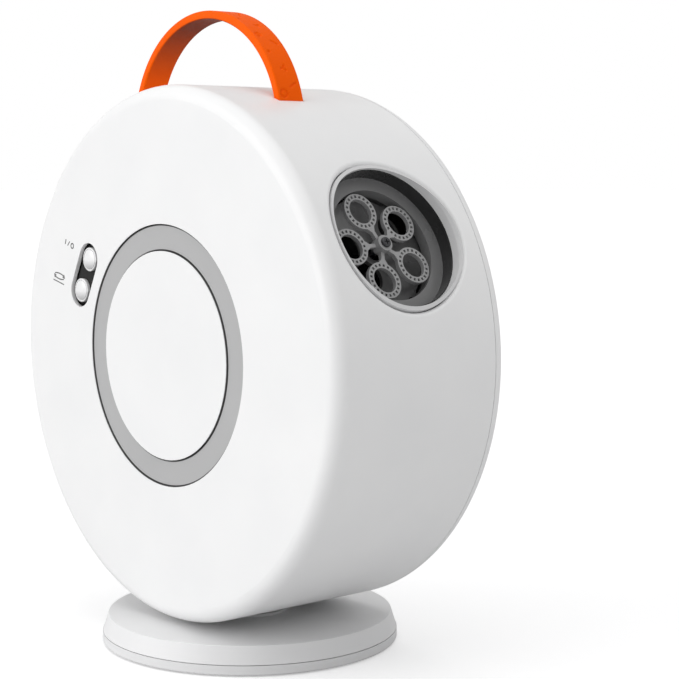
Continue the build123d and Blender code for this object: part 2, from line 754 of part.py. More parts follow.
with BuildPart() as wand_wheel:
    with BuildSketch(outlet_plane(wand_d)):
        Circle(wand_hub_r)
        with PolarLocations(0, wand_count, start_angle=wand_phase):
            Polygon((1.5, 0.7), (5.6, 0.7), (8.4, 2.6), (8.4, -2.6), (5.6, -0.7), (1.5, -0.7), align=None)
        with PolarLocations(wand_pitch_r, wand_count, start_angle=wand_phase):
            Circle(wand_ring_r)
        with PolarLocations(wand_pitch_r, wand_count, start_angle=wand_phase):
            Circle(wand_hole_r, mode=Mode.SUBTRACT)
    extrude(amount=wand_thick)
    with BuildSketch(outlet_plane(wand_d)):
        for k in range(wand_count):
            x, y = polar(wand_pitch_r, wand_phase + 360 / wand_count * k)
            with Locations((x, y)):
                with PolarLocations((wand_ring_r + wand_hole_r) / 2, wand_slots, start_angle=wand_phase):
                    Rectangle(1.0, 0.9)
    extrude(amount=wand_thick, mode=Mode.SUBTRACT)
    with BuildSketch(outlet_plane(wand_d - 0.7)):
        Circle(wand_hub_r)
    extrude(amount=wand_thick + 2.7)
    with BuildSketch(outlet_plane(wand_d - 1)):
        Circle(wheel_shaft_r)
    extrude(amount=wand_thick + 4, mode=Mode.SUBTRACT)
save("wand_wheel", wand_wheel.part)

shaft_end_d = wand_d + wand_thick + 2.0
hub_screw = screw(1.9, 1.0, 0.7, 5)
save("hub_screw", copies(hub_screw, [outlet_plane(shaft_end_d)]))
with BuildPart() as wheel_shaft:
    add(disc(outlet_plane(wheel_gear_d), wheel_shaft_r, shaft_end_d - wheel_gear_d))
    with BuildSketch(outlet_plane(shaft_end_d)):
        Circle(0.75)
    extrude(amount=-6, mode=Mode.SUBTRACT)
save("wheel_shaft", wheel_shaft.part)
save("shaft_bush", disc(outlet_plane(49), 4.0, 7, hole_r=wheel_shaft_r + running_gap))
save("shaft_seal", disc(outlet_plane(56), 4.0, 2, hole_r=wheel_shaft_r + 0.09))
save("wheel_gear", gear(outlet_plane(wheel_gear_d), wheel_module, wheel_teeth, wheel_gear_thick,
                        wheel_shaft_r))


def motor_plane(d):
    """Plane across the outlet axis, centred on the wand wheel's motor."""
    return Plane(origin=outlet_plane(d).from_local_coords((0, motor_v, 0)),
                 x_dir=(0, 1, 0), z_dir=(u_x, 0, u_z))


motor_shaft_r = 1.25
save("wheel_pinion", gear(motor_plane(wheel_gear_d), wheel_module, wheel_pinion_teeth,
                          wheel_gear_thick, motor_shaft_r))
save("wheel_motor_shaft", disc(motor_plane(bracket_d - 2.5), motor_shaft_r,
                               wheel_gear_d + wheel_gear_thick + 2.5 - bracket_d))
with BuildPart() as wheel_bracket:
    with BuildSketch(motor_plane(bracket_d)):
        RectangleRounded(44, 18, 3)
        Circle(3.5, mode=Mode.SUBTRACT)
        with Locations((18, 0), (-18, 0)):
            Circle(1.25, mode=Mode.SUBTRACT)
    extrude(amount=bracket_thick)
save("wheel_bracket", wheel_bracket.part)
with BuildPart() as wheel_gearmotor:
    with BuildSketch(motor_plane(bracket_d)):
        RectangleRounded(22, 18, 2)
    extrude(amount=-16)
    with BuildSketch(motor_plane(bracket_d - 16)):
        Circle(7.5)
    extrude(amount=-15)
    with BuildSketch(motor_plane(bracket_d)):
        Circle(motor_shaft_r + running_gap)
    extrude(amount=-3, mode=Mode.SUBTRACT)
save("wheel_gearmotor", wheel_gearmotor.part)

# ==== blower and air duct ====
nozzle_plate_thick = 1.6
slot_r = 21.4
slot_width = 1.6
slot_span = 26
slot_angles = (72, 110, 285, 323)
window_r = 11.5
window_width = 11.6
window_start, window_span = 168, 70
mouth_stretch = 5.6         # the nozzle's mouth is drawn out towards the rim
mouth_turn = 23
mouth_middle = (nozzle_w + 2.6, nozzle_v + 1.1)
with BuildPart() as air_duct:
    with BuildSketch(Plane(origin=duct_start, x_dir=duct_dir, z_dir=duct_dir.cross(Vector(0, 1, 0)))):
        Polygon((-4, duct_r + 0.1), (0.2, duct_r + 0.1), (0.2, 0), (duct_length, 0),
                (duct_length, duct_r), (4, duct_r), (2, duct_r + 1.3), (-4, duct_r + 1.3), align=None)
    revolve(axis=duct_axis)
    with BuildSketch(outlet_plane(nozzle_d)):
        Circle(nozzle_plate_r)
    extrude(amount=-nozzle_plate_thick)
    with BuildSketch(outlet_plane(nozzle_d)):
        Circle(nozzle_plate_r + 5)
    extrude(amount=10, mode=Mode.SUBTRACT)
    with BuildSketch(outlet_plane(nozzle_d)):
        Circle(3.6)
        for middle in slot_angles:
            with BuildSketch(mode=Mode.PRIVATE) as slot:
                SlotArc(CenterArc((0, 0), slot_r, middle - slot_span / 2, slot_span), slot_width)
            add(slot.sketch)
        with BuildSketch(mode=Mode.PRIVATE) as window:
            SlotArc(CenterArc((0, 0), window_r, window_start, window_span), window_width)
        add(window.sketch)
        with Locations(Location((*mouth_middle, 0), (0, 0, mouth_turn))):
            SlotCenterToCenter(mouth_stretch, 2 * duct_bore_r)
    extrude(amount=-nozzle_plate_thick - 1, mode=Mode.SUBTRACT)
    with BuildSketch(duct_plane(0)):
        Circle(duct_bore_r)
    extrude(amount=duct_length + 5, mode=Mode.SUBTRACT)
save("air_duct", air_duct.part)


def fan_sketch(y, radius):
    with BuildSketch(face_plane(y)) as outline:
        with Locations(fan_centre):
            Circle(radius)
    return outline.sketch


fan_back_y = fan_half_depth - fan_wall
with BuildPart() as fan_housing:
    extrude(fan_sketch(fan_back_y, fan_r), amount=fan_back_y + fan_half_depth)
    with BuildSketch(face_plane(-fan_half_depth + 5)):
        with Locations(*fan_ears):
            Circle(3.5)
    extrude(amount=5)
    with BuildSketch(duct_plane(-22)):
        Circle(duct_r + 1.1)
    extrude(amount=17.5)
    with BuildSketch(duct_plane(-22)):
        Circle(duct_r)
    extrude(amount=22)
    extrude(fan_sketch(fan_back_y, fan_r - fan_wall), amount=fan_back_y + fan_half_depth - fan_wall,
            mode=Mode.SUBTRACT)
    with BuildSketch(duct_plane(-16)):
        Circle(duct_bore_r)
    extrude(amount=20, mode=Mode.SUBTRACT)
    with BuildSketch(face_plane(0)):
        with Locations(*fan_ears):
            Circle(1.3)
        with Locations(fan_centre):
            Circle(2.5)
    extrude(amount=fan_half_depth + 1, mode=Mode.SUBTRACT)
save("fan_housing", fan_housing.part)

with BuildPart() as fan_cover:
    extrude(fan_sketch(fan_half_depth, fan_r), amount=fan_wall)
    extrude(fan_sketch(fan_half_depth, 10), amount=fan_wall, mode=Mode.SUBTRACT)
save("fan_cover", fan_cover.part)
save("fan_screws", copies(screw(2.4, 1.4, 1.2, 14), [rearward(x, -fan_half_depth + 5, z)
                                                      for x, z in fan_ears]))

fan_shaft_r = 1.0
with BuildPart() as fan_motor:
    extrude(fan_sketch(-fan_half_depth - 0.1, 11), amount=18)
    with BuildSketch(face_plane(-fan_half_depth - 0.1)):
        with Locations(fan_centre):
            Circle(fan_shaft_r + running_gap)
    extrude(amount=4, mode=Mode.SUBTRACT)
save("fan_motor", fan_motor.part)

with BuildPart() as fan_impeller:
    with BuildSketch(face_plane(-7.0)):
        with Locations(fan_centre):
            Circle(16.0)
    extrude(amount=1.6)
    with BuildSketch(face_plane(7.5)):
        for k in range(14):
            angle = 360 / 14 * k
            x, z = polar(12.8, angle)
            with Locations(Location((fan_centre[0] + x, fan_centre[1] + z, 0), (0, 0, angle + 35))):
                Rectangle(6.0, 1.0)
    extrude(amount=15)
    with BuildSketch(face_plane(2)):
        with Locations(fan_centre):
            Circle(3.0)
    extrude(amount=9.5)
    with BuildSketch(face_plane(8)):
        with Locations(fan_centre):
            Circle(fan_shaft_r)
    extrude(amount=20, mode=Mode.SUBTRACT)
save("fan_impeller", fan_impeller.part)

with BuildPart() as fan_shaft:
    extrude(fan_sketch(2, fan_shaft_r), amount=18)
save("fan_shaft", fan_shaft.part)

# ==== swivel drive ====
with BuildPart() as swivel_bush:
    add(disc(Plane.XY.offset(bush_flange_z), bush_flange_r, bush_seat_z - bush_flange_z,
             hole_r=post_r + running_gap))
    add(disc(Plane.XY.offset(bush_seat_z), bush_r, bush_top_z - bush_seat_z, hole_r=post_r + running_gap))
save("swivel_bush", swivel_bush.part)

pinion_z = Plane(origin=(pinion_x, 0, sun_z), x_dir=(1, 0, 0), z_dir=(0, 0, 1))
save("swivel_pinion", gear(pinion_z, swivel_module, swivel_pinion_teeth, sun_thick, wheel_shaft_r,
                           phase=180 / swivel_pinion_teeth))
swivel_shaft_top = bracket_z + bracket_thick + 3.5


def swivel_motor_plane(z):
    return Plane(origin=(pinion_x, 0, z), x_dir=(1, 0, 0), z_dir=(0, 0, 1))


save("swivel_motor_shaft", disc(swivel_motor_plane(sun_z), wheel_shaft_r, swivel_shaft_top - sun_z))
with BuildPart() as swivel_bracket:
    with BuildSketch(swivel_motor_plane(bracket_z)):
        RectangleRounded(18, 60, 3)
        Circle(3.5, mode=Mode.SUBTRACT)
        with Locations((0, 25), (0, -25)):
            Circle(1.5, mode=Mode.SUBTRACT)
    extrude(amount=bracket_thick)
save("swivel_bracket", swivel_bracket.part)
with BuildPart() as swivel_gearmotor:
    with BuildSketch(swivel_motor_plane(bracket_z + bracket_thick)):
        RectangleRounded(24, 34, 2)
    extrude(amount=18)
    with BuildSketch(swivel_motor_plane(bracket_z + bracket_thick + 18)):
        Circle(8)
    extrude(amount=18)
    with BuildSketch(swivel_motor_plane(bracket_z + bracket_thick)):
        Circle(wheel_shaft_r + running_gap)
    extrude(amount=3.8, mode=Mode.SUBTRACT)
save("swivel_gearmotor", swivel_gearmotor.part)
save("swivel_screws", copies(screw(2.5, 1.4, 1.25, 9),
                             [Plane.XY.offset(bracket_z + bracket_thick) * Pos(x, y, 0)
                              for x, y in bracket_places]))

# ==== battery bay ====
bay_rim_y = cover_back_y
with BuildPart() as battery_box:
    with BuildSketch(face_plane(bay_rim_y)):
        with Locations((bay_x, door_z)):
            RectangleRounded(door_width + 4, door_height + 4, 4)
    extrude(amount=1.5)
    with BuildSketch(face_plane(bay_rim_y)):
        with Locations((bay_x, bay_z)):
            RectangleRounded(bay_width, bay_height, 2)
    extrude(amount=bay_rim_y - bay_floor_y)
    with BuildSketch(face_plane(bay_rim_y)):
        with Locations(*door_screw_places):
            Circle(3.2)
    extrude(amount=12)
    with BuildSketch(face_plane(bay_rim_y)):
        with Locations((bay_x, bay_z)):
            RectangleRounded(bay_width - 3, bay_height - 3, 1)
    extrude(amount=bay_rim_y - bay_floor_y - 1.5, mode=Mode.SUBTRACT)
    with BuildSketch(face_plane(bay_rim_y)):
        with Locations(*door_screw_places):
            Circle(1.35)
    extrude(amount=10, mode=Mode.SUBTRACT)
save("battery_box", battery_box.part)

cell_y = bay_floor_y + 1.5 + cell_r + 0.15
nub_length = 1.4
barrel_length = cell_length - nub_length
contact_thick = 0.5
contact_face = bay_height / 2 - 1.5 - contact_thick
cell_shift = contact_face - nub_length - barrel_length / 2
with BuildPart() as battery_cells:
    for k, x in enumerate(bay_places):
        nub = 1 if k % 2 else -1
        middle = drum_z + bay_z + nub * cell_shift
        with BuildSketch(Plane.XY.offset(middle - barrel_length / 2)):
            with Locations((x, cell_y)):
                Circle(cell_r)
        extrude(amount=barrel_length)
        with BuildSketch(Plane.XY.offset(middle + nub * barrel_length / 2)):
            with Locations((x, cell_y)):
                Circle(2.7)
        extrude(amount=nub * nub_length)
save("battery_cells", battery_cells.part)

contact_places = [(x, cell_y, drum_z + bay_z + side * (contact_face + contact_thick / 2))
                  for x in bay_places for side in (-1, 1)]
with BuildPart() as battery_contacts:
    with Locations(*contact_places):
        Box(9, 9, contact_thick)
save("battery_contacts", battery_contacts.part)

spring_wire_r = 0.4
spring_length = 2 * contact_face - cell_length
with BuildPart() as spring:
    with BuildLine() as coil:
        Helix(pitch=(spring_length - 2 * spring_wire_r) / 2.5, height=spring_length - 2 * spring_wire_r,
              radius=3.2, center=(0, 0, spring_wire_r))
    with BuildSketch(Plane(origin=coil.line @ 0, z_dir=coil.line % 0)):
        Circle(spring_wire_r * 0.98)
    sweep(path=coil.line)
spring_planes = [Plane(origin=(x, cell_y, drum_z + bay_z + (1 if k % 2 == 0 else -1) * contact_face),
                       z_dir=(0, 0, -1 if k % 2 == 0 else 1)) for k, x in enumerate(bay_places)]
save("battery_springs", copies(spring.part, spring_planes))

with BuildPart() as battery_door:
    with BuildSketch(face_plane(back_y)):
        with Locations((bay_x, door_z)):
            RectangleRounded(door_width, door_height, 3)
    extrude(amount=wall - door_gap)
    fillet(battery_door.faces().sort_by(Axis.Y)[-1].edges(), 0.4)
    with BuildSketch(face_plane(back_y)):
        with Locations(*door_screw_places):
            Circle(3.0)
    extrude(amount=1.2, mode=Mode.SUBTRACT)
    with BuildSketch(face_plane(back_y)):
        with Locations(*door_screw_places):
            Circle(1.3)
    extrude(amount=wall, mode=Mode.SUBTRACT)
    with BuildSketch(face_plane(back_y)):
        with Locations(*[(bay_x, door_z + 22 + 3 * k) for k in range(4)]):
            SlotOverall(18, 1.4)
    extrude(amount=0.6, mode=Mode.SUBTRACT)
save("battery_door", battery_door.part)
save("door_screws", copies(screw(2.7, 1.1, 1.2, 6), [rearward(x, back_y - 1.2, z)
                                                    for x, z in door_screw_places]))

# ==== carry strap ====
with BuildPart() as carry_strap:
    extrude(strap_outline(0), amount=strap_width)
    fillet(carry_strap.faces().filter_by(Axis.Y).edges(), 0.8)
    with BuildSketch(Plane(origin=(right_leg_x + 1, strap_y, drum_z + clamp_right_z), z_dir=(-1, 0, 0))):
        Circle(1.4)
    extrude(amount=6, mode=Mode.SUBTRACT)
    with BuildSketch(Plane(origin=(left_leg_x - 1, strap_y, drum_z + clamp_left_z), z_dir=(1, 0, 0))):
        Circle(1.4)
    extrude(amount=6, mode=Mode.SUBTRACT)
save("carry_strap", carry_strap.part)

clamp_thick = 2.0
clamp_places = [(right_leg_x - strap_thick - 1.35, strap_y, drum_z + clamp_right_z),
                (left_leg_x + strap_thick + 1.35, strap_y, drum_z + clamp_left_z)]
with BuildPart() as strap_clamps:
    with Locations(*clamp_places):
        Box(clamp_thick, 11, 8)
    with Locations(*clamp_places):
        Cylinder(1.4, 4, rotation=(0, 90, 0), mode=Mode.SUBTRACT)
save("strap_clamps", strap_clamps.part)
screw_planes = [Plane(origin=(x - side, y, z), z_dir=(-side, 0, 0))
                for (x, y, z), side in zip(clamp_places, (1, -1))]
save("strap_screws", copies(screw(2.5, 1.5, 1.25, 10), screw_planes))
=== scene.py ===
from math import cos, pi, radians, sin

import bmesh
import bpy
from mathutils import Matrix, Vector


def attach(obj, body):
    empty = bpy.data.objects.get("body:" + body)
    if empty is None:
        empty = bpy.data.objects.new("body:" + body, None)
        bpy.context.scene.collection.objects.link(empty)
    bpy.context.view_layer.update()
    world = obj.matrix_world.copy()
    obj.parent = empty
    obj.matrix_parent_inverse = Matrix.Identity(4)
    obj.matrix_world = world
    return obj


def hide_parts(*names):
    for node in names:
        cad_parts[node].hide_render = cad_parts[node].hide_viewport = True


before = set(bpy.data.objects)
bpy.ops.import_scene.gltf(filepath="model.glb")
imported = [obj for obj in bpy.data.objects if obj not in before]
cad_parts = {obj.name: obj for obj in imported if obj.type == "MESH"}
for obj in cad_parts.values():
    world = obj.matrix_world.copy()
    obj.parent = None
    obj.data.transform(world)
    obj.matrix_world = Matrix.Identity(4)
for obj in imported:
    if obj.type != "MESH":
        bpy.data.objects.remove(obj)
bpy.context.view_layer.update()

MM = 0.001
DRUM_Z = 0.113                      # height of the drum's axis
FACE_Y = -0.040                     # front face of the drum
RING_MIDDLE = 0.04395               # middle radius of the face ring's groove
RING_HALF = 0.0052                  # half width of the groove
RING_FLAT = 0.00428                 # half width of the ring's clean front
PILL_X, PILL_Z = -0.0540, 0.0275    # middle of the button pill, from the drum's axis
PILL_HALF_PITCH = 0.00695           # half the distance between the buttons
PILL_SHADE = (0.0047, 0.0055)       # the panel's shade starts and is full this far from its middle line
OUTLET_ANGLE = radians(28.5)        # the outlet's axis above the level
MOULD_IOR = 1.5
CLOUD_SIZE = 0.035                  # blobs of colour in a moulding
SHEEN_SIZE = 0.012                  # blobs of gloss
WAVE_SIZE = 0.02                    # faint waves in a moulded skin


# ---------------------------------------------------------------- materials
class Nodes:
    """A material under construction, with short calls for the nodes that repeat."""

    def __init__(self, name):
        self.mat = bpy.data.materials.new(name)
        self.mat.use_nodes = True
        self.tree = self.mat.node_tree
        self.shader = self.tree.nodes["Principled BSDF"]
        self.place = self.add("ShaderNodeTexCoord").outputs["Object"]

    def add(self, kind, **settings):
        node = self.tree.nodes.new(kind)
        for key, value in settings.items():
            setattr(node, key, value)
        return node

    def link(self, source, target):
        self.tree.links.new(source, target)

    def scaled(self, size):
        """Places on the object in units of size metres."""
        mapping = self.add("ShaderNodeMapping")
        mapping.inputs["Scale"].default_value = (1 / size,) * 3
        self.link(self.place, mapping.inputs["Vector"])
        return mapping.outputs["Vector"]

    def noise(self, size, detail=2.0):
        """Noise whose blobs are about size metres across."""
        noise = self.add("ShaderNodeTexNoise")
        noise.inputs["Scale"].default_value = 1.0
        noise.inputs["Detail"].default_value = detail
        self.link(self.scaled(size), noise.inputs["Vector"])
        return noise.outputs["Fac"]

    def cells(self, size):
        """Rounded cells about size metres across, as on a spark-eroded mould."""
        voronoi = self.add("ShaderNodeTexVoronoi", feature="SMOOTH_F1")
        voronoi.inputs["Scale"].default_value = 1.0
        self.link(self.scaled(size), voronoi.inputs["Vector"])
        return voronoi.outputs["Distance"]

    def spread(self, value, low, high, start=0.3, end=0.7):
        """Map a value that runs from start to end onto the range low to high."""
        node = self.add("ShaderNodeMapRange")
        node.inputs["From Min"].default_value = start
        node.inputs["From Max"].default_value = end
        node.inputs["To Min"].default_value = low
        node.inputs["To Max"].default_value = high
        self.link(value, node.inputs["Value"])
        return node.outputs["Result"]

    def two_tone(self, value, first, second):
        """The first colour where value is 0, and the second where it is 1."""
        mix = self.add("ShaderNodeMix", data_type="RGBA")
        mix.inputs["A"].default_value = (*first, 1)
        mix.inputs["B"].default_value = (*second, 1)
        self.link(value, mix.inputs["Factor"])
        return mix.outputs["Result"]

    def over(self, value, tone, colour):
        """Cover a tone with one colour, fully where value is 1."""
        mix = self.add("ShaderNodeMix", data_type="RGBA")
        mix.inputs["B"].default_value = (*colour, 1)
        self.link(tone, mix.inputs["A"])
        self.link(value, mix.inputs["Factor"])
        return mix.outputs["Result"]

    def along(self, source, direction):
        """How far source, a vector, reaches along a direction."""
        dot = self.add("ShaderNodeVectorMath", operation="DOT_PRODUCT")
        self.link(source, dot.inputs[0])
        dot.inputs[1].default_value = direction
        return dot.outputs["Value"]

    def facing(self):
        """How far the surface faces up: -1 where it faces straight down."""
        return self.along(self.add("ShaderNodeNewGeometry").outputs["Normal"], (0, 0, 1))

    def bump(self, height, distance, under=None):
        """Relief of distance metres, laid over the relief under it."""
        node = self.add("ShaderNodeBump")
        node.inputs["Distance"].default_value = distance
        node.inputs["Strength"].default_value = 1.0
        self.link(height, node.inputs["Height"])
        if under is not None:
            self.link(under, node.inputs["Normal"])
        return node.outputs["Normal"]

    def math(self, operation, first, second=0.0):
        """One step of arithmetic on links or plain numbers."""
        node = self.add("ShaderNodeMath", operation=operation)
        for socket, value in zip(node.inputs, (first, second)):
            if isinstance(value, float):
                socket.default_value = value
            else:
                self.link(value, socket)
        return node.outputs["Value"]

    def set(self, **values):
        """Set the shader's own sockets, named with underscores for spaces."""
        for key, value in values.items():
            self.shader.inputs[key.replace("_", " ")].default_value = value


def grey(value):
    return (value, value, value * 1.005)


def moulded(name, colour, shade, rough, grain=0.00035, depth=0.000012, painted_shade=None, **more):
    """Injection-moulded plastic: fine spark-erosion grain, faint flow clouds and handling sheen.

    An optional pair paints shade into the colour: a function that says where, from 0 to 1, the shade is
    painted, and the grey that is painted there.
    """
    m = Nodes(name)
    tone = m.two_tone(m.spread(m.noise(CLOUD_SIZE, detail=3), 0, 1), colour, shade)
    if painted_shade:
        where, level = painted_shade
        # paint the shade over the moulded tone
        tone = m.over(where(m), tone, grey(level))
    m.link(tone, m.shader.inputs["Base Color"])
    m.link(m.spread(m.noise(SHEEN_SIZE, detail=4), *rough), m.shader.inputs["Roughness"])
    waves = m.bump(m.noise(WAVE_SIZE, detail=1), depth * 3)
    m.link(m.bump(m.cells(grain), depth, under=waves), m.shader.inputs["Normal"])
    m.set(IOR=MOULD_IOR, **more)
    return m.mat


def off_middle(m):
    """Distance from the middle line of the face ring, in and out along the drum's radius."""
    flat = m.add("ShaderNodeVectorMath", operation="MULTIPLY_ADD")
    m.link(m.place, flat.inputs[0])
    flat.inputs[1].default_value = (1, 0, 1)
    flat.inputs[2].default_value = (0, 0, -DRUM_Z)
    length = m.add("ShaderNodeVectorMath", operation="LENGTH")
    m.link(flat.outputs["Vector"], length.inputs[0])
    return m.math("ABSOLUTE", m.math("SUBTRACT", length.outputs["Value"], RING_MIDDLE))


def ring_groove_shade(m):
    """Where shade is painted into the groove that the face ring lies in: behind the face, and only as
    far out as the ring.
    """
    return m.math("MULTIPLY", m.spread(off_middle(m), 1, 0, RING_HALF, RING_HALF + 0.00002),
                  behind_face(0.0001, 0.0003)(m))


def ring_edge_shade(m):
    """Where shade is painted along the ring's two edges and its sides."""
    return m.math("MAXIMUM", m.spread(off_middle(m), 0, 1, RING_FLAT, RING_FLAT + 0.0001),
                  behind_face(0.0007, 0.0009)(m))


def panel_rim_shade(m):
    """Where shade is painted along the rim of the button panel, measured from the pill's middle line."""
    offset = m.add("ShaderNodeVectorMath", operation="SUBTRACT")
    m.link(m.place, offset.inputs[0])
    offset.inputs[1].default_value = (PILL_X, 0, DRUM_Z + PILL_Z)
    outward = Vector((PILL_X, 0, PILL_Z)).normalized()
    lengthwise = Vector((-PILL_Z, 0, PILL_X)).normalized()
    across, along = (m.math("ABSOLUTE", m.along(offset.outputs["Vector"], direction))
                     for direction in (outward, lengthwise))
    past = m.math("MAXIMUM", m.math("SUBTRACT", along, PILL_HALF_PITCH), 0.0)
    square = m.math("ADD", m.math("POWER", across, 2.0), m.math("POWER", past, 2.0))
    return m.spread(m.math("SQRT", square), 0, 1, *PILL_SHADE)


def behind_face(start, full):
    """Further behind the drum's front face than start, and fully so at full."""
    return lambda m: m.spread(m.along(m.place, (0, 1, 0)), 0, 1, FACE_Y + start, FACE_Y + full)


def shade_facing_down(start, full):
    """Painted shade on faces whose normal points down more than start, and fully so at full."""
    return lambda m: m.spread(m.facing(), 1, 0, -full, -start)


def metal(name, colour, shade, rough=(0.25, 0.4)):
    """Plated or sintered metal with fine tool marks and dull patches."""
    m = Nodes(name)
    m.link(m.two_tone(m.spread(m.noise(0.004), 0, 1), colour, shade), m.shader.inputs["Base Color"])
    m.link(m.spread(m.noise(0.0015, detail=4), *rough), m.shader.inputs["Roughness"])
    m.link(m.bump(m.noise(0.0004), 0.00001), m.shader.inputs["Normal"])
    m.set(Metallic=1.0)
    return m.mat


WHITE = (0.90, 0.90, 0.90), (0.87, 0.872, 0.875)
white = moulded("shell_white", *WHITE, rough=(0.30, 0.40))
# The drum shell's front white, with shade painted into the groove round the face ring.
front_white = moulded("shell_white_front", *WHITE, rough=(0.30, 0.40), painted_shade=(ring_groove_shade, 0.13))
# The foot's white is greyer than the shell's: painted shade for the foot lying under the drum.
foot_white = moulded("foot_white", grey(0.81), grey(0.78), rough=(0.32, 0.42))
# Gloss white buttons, with shade painted on the lower half of each dome, where it faces down.
white_gloss = moulded("button_gloss_white", grey(0.90), grey(0.88), rough=(0.10, 0.17), grain=0.0008,
                      depth=0.000004, painted_shade=(shade_facing_down(0.01, 0.17), 0.42), Coat_Weight=0.4,
                      Coat_Roughness=0.06)
# Grey ring paint, with shade painted along the ring's edges and sides.
ring_paint = moulded("ring_grey", grey(0.455), grey(0.435), rough=(0.42, 0.52),
                     painted_shade=(ring_edge_shade, 0.09))
bezel_grey = moulded("bezel_grey", grey(0.70), grey(0.67), rough=(0.32, 0.42))
# Black button panel, with shade painted along its rim round the buttons.
panel_black = moulded("panel_black", grey(0.040), grey(0.034), rough=(0.4, 0.55), grain=0.0004,
                      painted_shade=(panel_rim_shade, 0.002), Specular_IOR_Level=0.02)


def graded(name, ramp, direction, rough):
    """Moulded plastic whose grey follows a list of (place, grey) along a direction in space."""
    m = Nodes(name)
    low, high = ramp[0][0], ramp[-1][0]
    tone = m.add("ShaderNodeValToRGB")
    m.link(m.spread(m.along(m.place, direction), 0, 1, low, high), tone.inputs["Fac"])
    stops = tone.color_ramp.elements
    while len(stops) < len(ramp):
        stops.new(0.5)
    for stop, (place, value) in zip(stops, ramp):
        stop.position = (place - low) / (high - low)
        stop.color = (*grey(value), 1)
    cloud = m.add("ShaderNodeMix", data_type="RGBA", blend_type="MULTIPLY")
    cloud.inputs["Factor"].default_value = 0.3
    m.link(tone.outputs["Color"], cloud.inputs["A"])
    m.link(m.noise(0.02, detail=3), cloud.inputs["B"])
    m.link(cloud.outputs["Result"], m.shader.inputs["Base Color"])
    m.link(m.spread(m.noise(SHEEN_SIZE, detail=4), *rough), m.shader.inputs["Roughness"])
    m.link(m.bump(m.cells(0.0006), 0.000006), m.shader.inputs["Normal"])
    return m.mat


OUTLET_AXIS = (cos(OUTLET_ANGLE), 0, sin(OUTLET_ANGLE))
OUTLET_START = DRUM_Z * sin(OUTLET_ANGLE)   # height of the drum's axis, measured along the outlet


def along_outlet(ramp):
    """A ramp whose places are millimetres from the drum's axis along the outlet."""
    return [(OUTLET_START + place * MM, value) for place, value in ramp]


# The tank's grey steps down to near black past the shelf, 90.2 mm out: painted shade on the throat wall.
tank_dark = graded("tank_dark", along_outlet([(88.0, 0.24), (90.1, 0.24), (90.3, 0.030), (97.0, 0.026)]),
                   OUTLET_AXIS, rough=(0.16, 0.28))
# Painted light and shade across the nozzle plate: lighter towards -y, darker towards +y.
duct_dark = graded("duct_dark", [(-0.024, 0.40), (-0.010, 0.28), (-0.002, 0.11), (0.024, 0.11)],
                   (0, 1, 0), rough=(0.24, 0.36))
wheel_grey = moulded("wheel_grey", grey(0.38), grey(0.33), rough=(0.20, 0.32), grain=0.0004)
inner_grey = moulded("inner_grey", grey(0.10), grey(0.12), rough=(0.4, 0.5))
acetal = moulded("acetal", (0.78, 0.77, 0.72), (0.72, 0.71, 0.66), rough=(0.3, 0.4),
                 Subsurface_Weight=0.1)
steel = metal("zinc_steel", (0.62, 0.62, 0.64), (0.50, 0.50, 0.53))
dark_steel = metal("black_zinc", (0.10, 0.10, 0.105), (0.06, 0.06, 0.065), rough=(0.3, 0.45))
bush_grey = moulded("bush_grey", grey(0.70), grey(0.66), rough=(0.5, 0.6), grain=0.0005)
rubber = moulded("foot_rubber", grey(0.02), grey(0.03), rough=(0.6, 0.75), grain=0.0006, depth=0.00003)
seal = moulded("silicone_seal", grey(0.08), grey(0.10), rough=(0.5, 0.6), grain=0.0006)
board_green = moulded("board_green", (0.01, 0.09, 0.03), (0.012, 0.11, 0.035), rough=(0.2, 0.3))
chip_black = moulded("chip_black", grey(0.02), grey(0.025), rough=(0.5, 0.6))
cell_wrap = moulded("cell_wrap", (0.03, 0.12, 0.05), (0.04, 0.14, 0.06), rough=(0.2, 0.3))


def strap_material():
    """Soft orange elastomer: fine matte skin, with shade painted deep brown on its inner face under the
    arch, where it faces down.
    """
    m = Nodes("strap_orange")
    tone = m.two_tone(m.spread(m.noise(0.02, detail=3), 0, 1), (1.0, 0.122, 0.0), (0.98, 0.114, 0.0))
    # painted shade: deep brown where the inner face looks down under the arch
    shade_under_arch = m.spread(m.facing(), 0.9, 0.0, -0.95, -0.45)
    m.link(m.over(shade_under_arch, tone, (0.105, 0.025, 0.013)), m.shader.inputs["Base Color"])
    m.link(m.spread(m.noise(0.004, detail=4), 0.48, 0.60), m.shader.inputs["Roughness"])
    skin = m.bump(m.cells(0.0006), 0.00002)
    m.link(m.bump(m.noise(0.0002, detail=3), 0.000012, under=skin), m.shader.inputs["Normal"])
    m.set(Specular_IOR_Level=0.06)
    return m.mat


def print_material():
    """Pad-printed ink: flat grey with a slightly worn edge."""
    m = Nodes("grey_print")
    tone = m.two_tone(m.spread(m.noise(0.0006, detail=4), 0, 1), grey(0.07), grey(0.11))
    m.link(tone, m.shader.inputs["Base Color"])
    m.link(m.spread(m.noise(0.0008), 0.45, 0.6), m.shader.inputs["Roughness"])
    return m.mat


strap_orange = strap_material()
print_grey = print_material()

